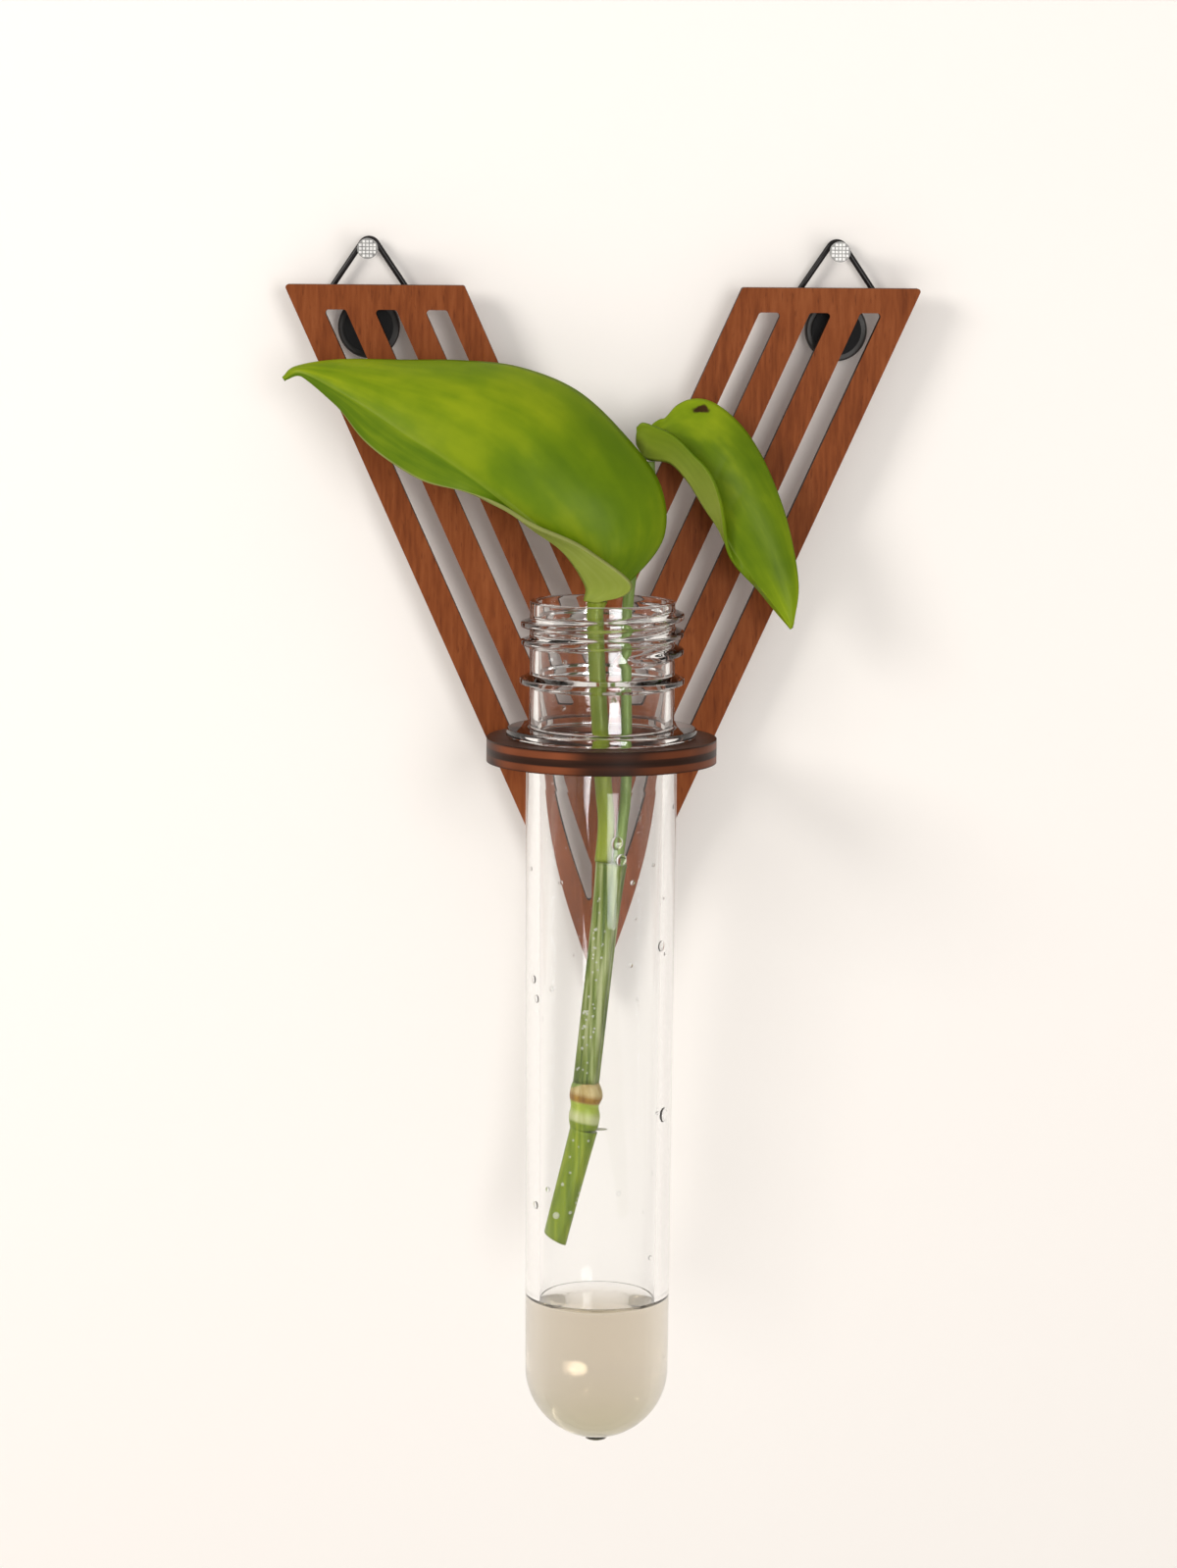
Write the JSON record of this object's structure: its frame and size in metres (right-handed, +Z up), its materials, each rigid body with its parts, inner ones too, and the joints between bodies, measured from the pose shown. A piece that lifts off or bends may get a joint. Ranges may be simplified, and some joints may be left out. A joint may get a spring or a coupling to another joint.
{
  "type": "wall-hung propagation vase",
  "caption": "Wall-hung propagation vase: a slotted plywood V on wire hangers, with a ring shelf that holds a clear screw-neck tube, water and a leafy cutting.",
  "frame": {"origin": "on the wall's surface, midway between the axes of the two hanging nails", "axes": "+X to the right along the wall, +Y into the wall along the nails, +Z up; the front faces -Y"},
  "size_m": [0.1082, 0.0582, 0.2051],
  "materials": {
    "stained_plywood": "stained mahogany, satin oil",
    "charred_plywood": "dark laser-cut edge, oiled",
    "clear_pet": "clear moulded PET, polished",
    "water": "clear water, faintly grey-green",
    "black_foam": "matt black adhesive foam",
    "black_plastic": "satin black",
    "black_wire": "gloss black coated steel wire",
    "zinc_nail": "bright zinc plate",
    "green_stem": "smooth ribbed plant stem",
    "scar_tan": "dry leaf scar",
    "leaf_green": "waxy leaf, semi-gloss"
  },
  "bodies": {
    "nails": {"left_nail": "zinc_nail", "right_nail": "zinc_nail"},
    "bails": {"left_wire_bail": "black_wire", "right_wire_bail": "black_wire"},
    "plate": {"back_plate": "stained_plywood", "ring_shelf": "charred_plywood", "left_adhesive_pad": "black_foam", "right_adhesive_pad": "black_foam", "left_hanger_disc": "black_plastic", "right_hanger_disc": "black_plastic"},
    "tube": {"test_tube": "clear_pet", "water": "water"},
    "cutting": {"lower_stem": "green_stem", "leaf_scar": "scar_tan", "upper_stem": "green_stem", "large_petiole": "green_stem", "small_petiole": "green_stem", "large_leaf": "leaf_green", "small_leaf": "leaf_green"}
  },
  "joints": [
    {"name": "hanger_swing", "type": "hinge", "parent": "nails", "child": "bails", "pos_m": [0, -0.0019, 0.0015], "axis": [-1, 0, 0], "range_deg": [0, 25]},
    {"name": "plate_tilt", "type": "hinge", "parent": "bails", "child": "plate", "pos_m": [0, -0.0019, -0.00942], "axis": [-1, 0, 0], "range_deg": [0, 5]},
    {"name": "tube_lift", "type": "slide", "parent": "plate", "child": "tube", "axis": [0, 0, 1], "range_m": [0, 0.13]},
    {"name": "cutting_lift", "type": "slide", "parent": "tube", "child": "cutting", "axis": [0, 0, 1], "range_m": [0, 0.115]}
  ]
}
